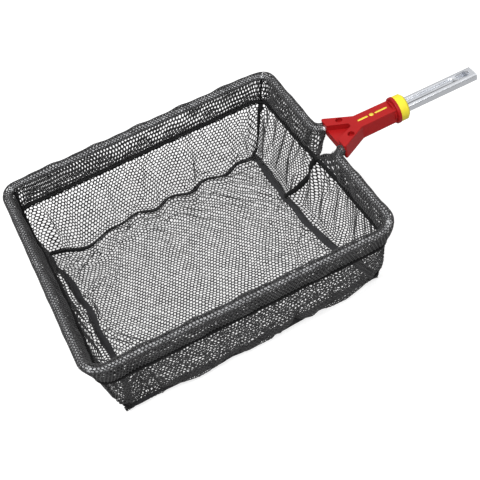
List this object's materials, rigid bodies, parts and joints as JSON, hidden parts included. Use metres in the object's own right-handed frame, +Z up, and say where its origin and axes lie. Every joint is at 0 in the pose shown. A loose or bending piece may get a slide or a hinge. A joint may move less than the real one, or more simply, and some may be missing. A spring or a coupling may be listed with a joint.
{
  "type": "leaf skimmer net",
  "caption": "Rectangular mesh leaf net on a bent rod frame, with a forked moulded head, a collar ring and a flat steel spigot that plugs into a pole.",
  "frame": {"origin": "under the middle of the whole part, on the surface that the bag's flat floor rests on", "axes": "+X along the handle from the bag towards the spigot's free end, +Y across the rim, +Z up out of the bag's mouth"},
  "size_m": [0.5364, 0.32, 0.1136],
  "materials": {
    "red_plastic": "satin moulded red",
    "yellow_plastic": "satin moulded yellow",
    "plated_steel": "bright plated, drawn",
    "pin_steel": "ground",
    "zinc_rod": "dull bright zinc",
    "net": "knitted mesh",
    "seam_tape": "folded binding"
  },
  "bodies": {
    "root": {"frame_rod": "zinc_rod", "head": "red_plastic", "collar_ring": "yellow_plastic", "spigot": "plated_steel", "spigot_pin": "pin_steel", "rod_grub_screws": "pin_steel", "hem_far": "net", "hem_near": "net", "hem_end": "net", "hem_handle_far": "net", "hem_handle_near": "net", "wall_far": "net", "wall_near": "net", "wall_end": "net", "wall_handle_far": "net", "wall_handle_near": "net", "floor_panel": "net", "floor_tape_far": "seam_tape", "floor_tape_end": "seam_tape", "floor_tape_near": "seam_tape", "floor_tape_handle": "seam_tape", "middle_seam": "seam_tape", "corner_seams": "seam_tape"}
  },
  "joints": []
}
